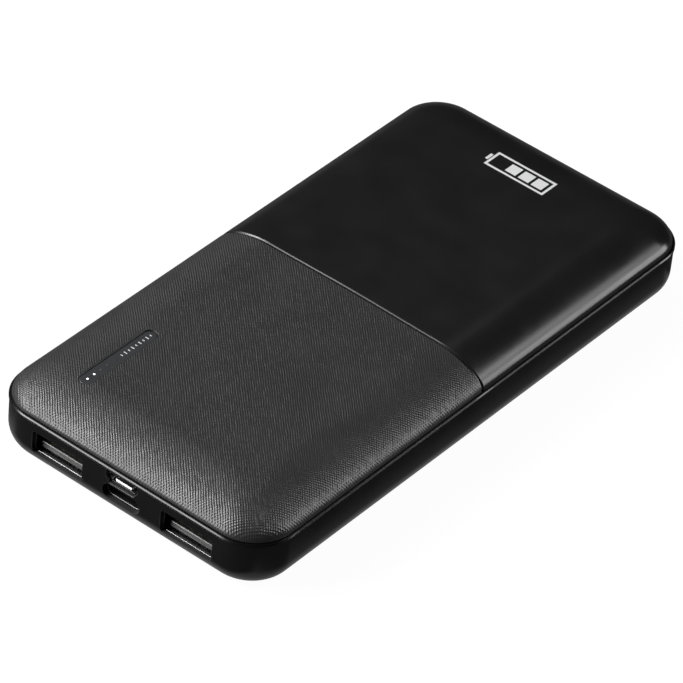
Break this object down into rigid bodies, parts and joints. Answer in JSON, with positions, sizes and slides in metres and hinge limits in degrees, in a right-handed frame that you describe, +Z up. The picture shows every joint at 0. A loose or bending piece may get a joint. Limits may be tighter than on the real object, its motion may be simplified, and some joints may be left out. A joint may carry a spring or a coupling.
{
  "type": "power bank",
  "caption": "Slim rectangular power bank with a cross-hatched half, a recessed charge indicator, USB ports in one end and a side key.",
  "frame": {"origin": "centre of the flat bottom face the case rests on", "axes": "+Z up out of the cover, +Y along the case away from the ports, +X across the case"},
  "size_m": [0.068, 0.1362, 0.018],
  "materials": {
    "case_black": "moulded black PC/ABS, satin, fine spark-eroded grain",
    "cover_black": "moulded black PC/ABS, cross-hatched front half and plain satin rear half",
    "smoked_lens": "smoked translucent polycarbonate, semi-gloss",
    "black_plastic": "moulded epoxy or nylon, matte",
    "white_plastic": "moulded white nylon, matte",
    "grey_plastic": "moulded pale grey thermoplastic, matte",
    "led_body": "clear epoxy over white ceramic",
    "board_green": "glass-epoxy laminate under solder mask",
    "steel": "tin-plated pressed steel",
    "gold_contact": "gold-plated copper alloy",
    "ferrite": "pressed ferrite, matte",
    "foil": "aluminium laminate or drawn aluminium, satin",
    "nickel": "nickel strip",
    "foam": "closed-cell foam",
    "tape": "double-sided adhesive tape",
    "wire_red": "silicone-insulated wire",
    "wire_black": "silicone-insulated wire"
  },
  "bodies": {
    "case": {"board_screw_1": "steel", "board_screw_2": "steel", "board_screw_3": "steel", "board_screw_4": "steel", "boost_controller": "black_plastic", "bottom_tray": "case_black", "cell_base_tape": "tape", "cell_middle_tape": "tape", "charge_controller": "black_plastic", "foam_pad": "foam", "indicator_window": "smoked_lens", "lead_negative": "wire_black", "lead_positive": "wire_red", "led_1": "led_body", "led_2": "led_body", "led_3": "led_body", "led_4": "led_body", "led_board": "board_green", "led_header": "black_plastic", "light_baffle": "foam", "lower_cell": "foil", "lower_tab_negative": "nickel", "lower_tab_positive": "nickel", "main_board": "board_green", "micro_usb_shell": "steel", "micro_usb_tongue": "white_plastic", "output_capacitor_1": "foil", "output_capacitor_2": "foil", "pack_board": "board_green", "power_inductor": "ferrite", "power_mosfet": "black_plastic", "protection_chip": "black_plastic", "sense_resistor": "black_plastic", "switch_base": "black_plastic", "switch_plate": "steel", "top_cover": "cover_black", "upper_cell": "foil", "upper_tab_negative": "nickel", "upper_tab_positive": "nickel", "usb_a_left_contact_1": "gold_contact", "usb_a_left_contact_2": "gold_contact", "usb_a_left_contact_3": "gold_contact", "usb_a_left_contact_4": "gold_contact", "usb_a_left_shell": "steel", "usb_a_left_tongue": "grey_plastic", "usb_a_right_contact_1": "gold_contact", "usb_a_right_contact_2": "gold_contact", "usb_a_right_contact_3": "gold_contact", "usb_a_right_contact_4": "gold_contact", "usb_a_right_shell": "steel", "usb_a_right_tongue": "grey_plastic", "usb_c_shell": "steel", "usb_c_tongue": "black_plastic"},
    "side_key": {"side_key": "case_black"},
    "switch_plunger": {"switch_plunger": "white_plastic"}
  },
  "joints": [
    {"name": "side_key_press", "type": "slide", "parent": "case", "child": "side_key", "axis": [1, 0, 0], "range_m": [0, 0.0004]},
    {"name": "switch_plunger_press", "type": "slide", "parent": "case", "child": "switch_plunger", "axis": [1, 0, 0], "range_m": [0, 0.0004]}
  ],
  "couplings": [
    {"joint": "switch_plunger_press", "follows": "side_key_press", "ratio": 1}
  ]
}
